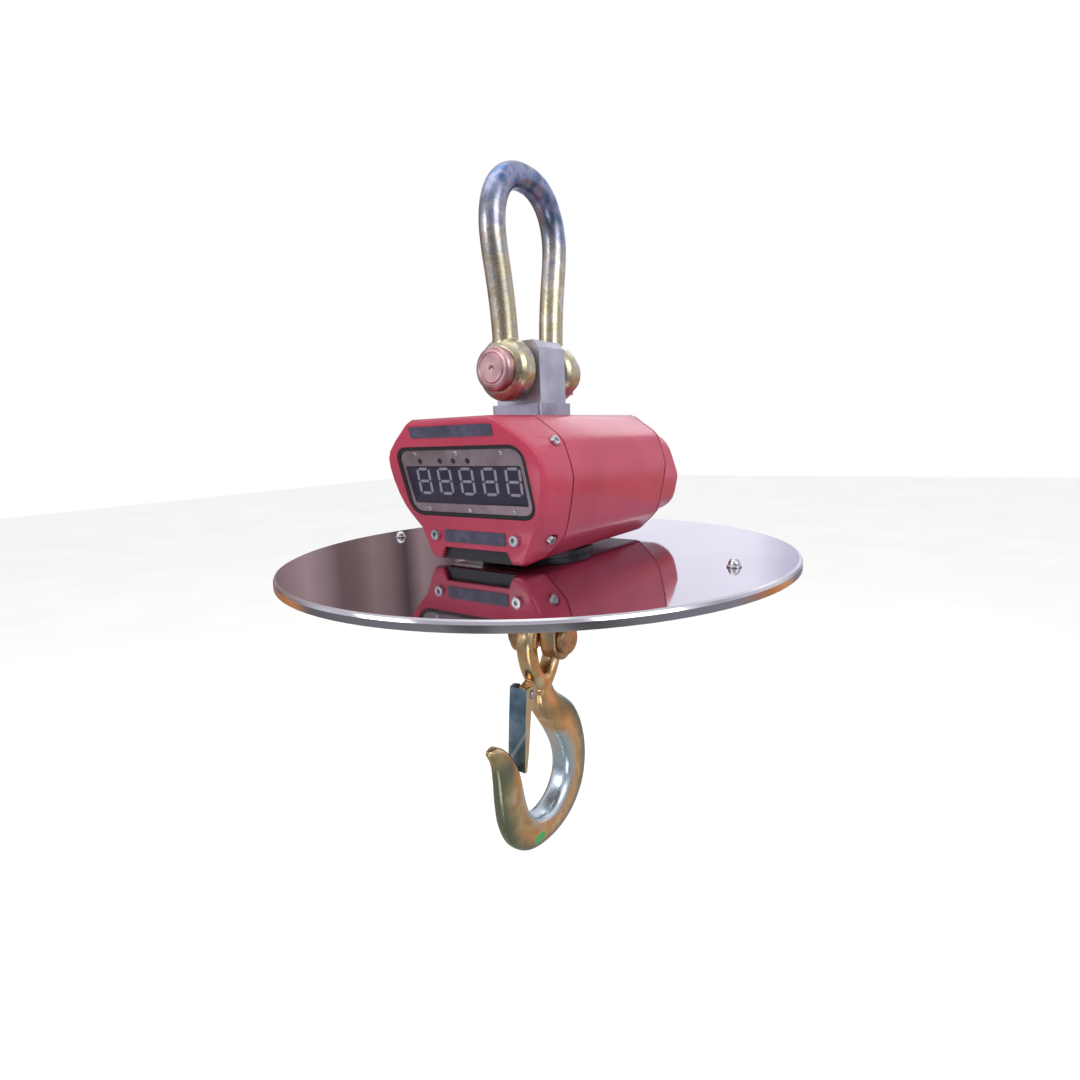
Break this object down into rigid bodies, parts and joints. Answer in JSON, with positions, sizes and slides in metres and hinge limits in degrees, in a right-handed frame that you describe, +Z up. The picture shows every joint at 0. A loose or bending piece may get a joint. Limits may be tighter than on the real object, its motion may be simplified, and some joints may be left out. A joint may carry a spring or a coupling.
{
  "type": "crane scale",
  "caption": "Hanging crane scale: bow shackle, red housing with a tilted digit display, round mirror heat shield, and an eye hook with a sprung safety latch.",
  "frame": {"origin": "inside of the shackle crown, on the load line, where the scale hangs", "axes": "+X to the right of the display, +Y from the display to the battery end, +Z up along the load line"},
  "size_m": [0.5, 0.5, 0.6796],
  "materials": {
    "yellow_zinc": "yellow zinc plated forging, iridescent",
    "passivated_steel": "pink passivated steel",
    "plain_steel": "bright plated steel",
    "cast_steel": "grey machined alloy steel",
    "collar_alloy": "satin aluminium",
    "bronze_zinc": "dark yellow zinc plated steel",
    "red_paint": "red baked paint on cast aluminium",
    "seal_rubber": "moulded rubber",
    "dark_plastic": "moulded plastic",
    "bezel_metal": "brushed sheet",
    "smoked_lens": "smoked acrylic",
    "board": "laminate circuit board",
    "label_film": "blank dark label",
    "digit_plastic": "seven segment module",
    "lamp_plastic": "unlit lamp",
    "mirror_steel": "mirror polished stainless sheet",
    "latch_steel": "blue-grey pressed sheet"
  },
  "bodies": {
    "shackle": {"shackle_bow": "yellow_zinc", "shackle_pin": "passivated_steel", "shackle_washer": "passivated_steel", "shackle_nut": "passivated_steel", "shackle_cotter": "plain_steel"},
    "housing": {"load_cell": "cast_steel", "gauge_cover": "plain_steel", "top_collar": "collar_alloy", "lower_clevis": "bronze_zinc", "lower_pin": "bronze_zinc", "lower_clip": "bronze_zinc", "centre_shell": "red_paint", "front_gasket": "seal_rubber", "front_cover": "red_paint", "rear_gasket": "seal_rubber", "rear_plate": "red_paint", "battery_cover": "red_paint", "battery_pack": "dark_plastic", "charge_socket": "dark_plastic", "window_seal": "seal_rubber", "bezel_panel": "bezel_metal", "display_window": "smoked_lens", "display_board": "board", "digit_1": "digit_plastic", "digit_2": "digit_plastic", "digit_3": "digit_plastic", "digit_4": "digit_plastic", "digit_5": "digit_plastic", "indicator_1": "lamp_plastic", "indicator_2": "lamp_plastic", "indicator_3": "lamp_plastic", "indicator_4": "lamp_plastic", "top_label": "label_film", "chin_label": "label_film", "chin_screw_left": "plain_steel", "chin_screw_right": "plain_steel", "side_screw_upper_right": "plain_steel", "side_screw_upper_left": "plain_steel", "side_screw_lower_right": "plain_steel", "side_screw_lower_left": "plain_steel", "main_board": "board", "heat_shield": "mirror_steel", "shield_hub": "plain_steel", "shield_brace": "plain_steel", "brace_bolt_right": "plain_steel", "brace_bolt_left": "plain_steel", "hub_screw_1": "plain_steel", "hub_screw_2": "plain_steel", "hub_screw_3": "plain_steel", "hub_screw_4": "plain_steel"},
    "hook": {"hook": "yellow_zinc", "latch_pin": "plain_steel"},
    "latch": {"latch": "latch_steel", "latch_spring": "plain_steel"}
  },
  "joints": [
    {"name": "housing_swing", "type": "hinge", "parent": "shackle", "child": "housing", "pos_m": [0, 0, -0.1625], "axis": [0, 1, 0], "range_deg": [-75, 75]},
    {"name": "hook_swing", "type": "hinge", "parent": "housing", "child": "hook", "pos_m": [0, 0, -0.4275], "axis": [1, 0, 0], "range_deg": [-50, 50]},
    {"name": "latch_open", "type": "hinge", "parent": "hook", "child": "latch", "pos_m": [0, -0.0329, -0.47904], "axis": [1, 0, 0], "range_deg": [0, 32], "stiffness_Nm_per_rad": 0.12, "springref_deg": -34.38}
  ]
}
